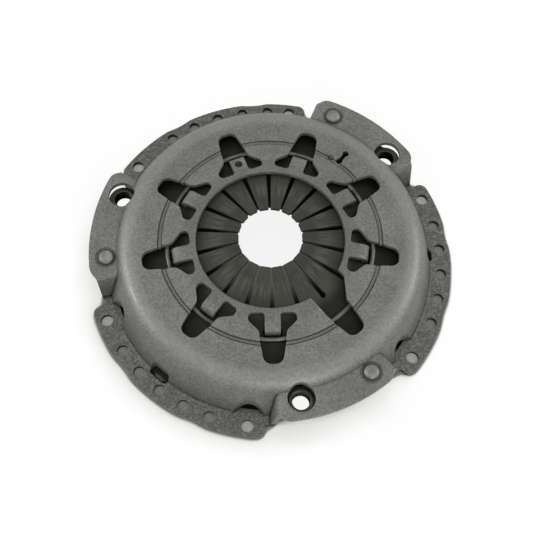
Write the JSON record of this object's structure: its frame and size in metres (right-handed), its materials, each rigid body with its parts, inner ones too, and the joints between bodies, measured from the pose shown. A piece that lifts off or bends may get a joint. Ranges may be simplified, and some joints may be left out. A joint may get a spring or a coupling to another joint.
{
  "type": "clutch pressure plate",
  "caption": "Diaphragm clutch cover with windowed pressed steel dome, fingered spring, wire fulcrum rings, drive straps and a cast pressure plate that lifts.",
  "frame": {"origin": "centre of the bolt circle on the flange face that meets the flywheel", "axes": "+Z along the clutch axis, from the flywheel to the release bearing"},
  "size_m": [0.2735, 0.2784, 0.0419],
  "materials": {
    "cover_steel": "phosphated and oiled, matt grey",
    "spring_steel": "hardened, dark brown-grey oxide",
    "wire_steel": "drawn wire, oiled",
    "plate_iron": "cast back, ground friction face",
    "strap_steel": "blued strip",
    "cover_rivet_steel": "headed, matt grey",
    "ear_rivet_steel": "rolled ends, dull bright"
  },
  "bodies": {
    "cover_body": {"cover": "cover_steel", "diaphragm_spring": "spring_steel", "upper_fulcrum_ring": "wire_steel", "lower_fulcrum_ring": "wire_steel", "drive_strap_1_a": "strap_steel", "drive_strap_1_b": "strap_steel", "drive_strap_1_c": "strap_steel", "drive_strap_2_a": "strap_steel", "drive_strap_2_b": "strap_steel", "drive_strap_2_c": "strap_steel", "drive_strap_3_a": "strap_steel", "drive_strap_3_b": "strap_steel", "drive_strap_3_c": "strap_steel", "cover_rivet_1": "cover_rivet_steel", "cover_rivet_2": "cover_rivet_steel", "cover_rivet_3": "cover_rivet_steel"},
    "plate_body": {"pressure_plate": "plate_iron", "ear_rivet_1": "ear_rivet_steel", "ear_rivet_2": "ear_rivet_steel", "ear_rivet_3": "ear_rivet_steel"}
  },
  "joints": [
    {"name": "plate_lift", "type": "slide", "parent": "cover_body", "child": "plate_body", "axis": [0, 0, 1], "range_m": [0, 0.003], "stiffness_N_per_m": 20000, "deforming": ["diaphragm_spring", "drive_strap_1_a", "drive_strap_1_b", "drive_strap_1_c", "drive_strap_2_a", "drive_strap_2_b", "drive_strap_2_c", "drive_strap_3_a", "drive_strap_3_b", "drive_strap_3_c"]}
  ]
}
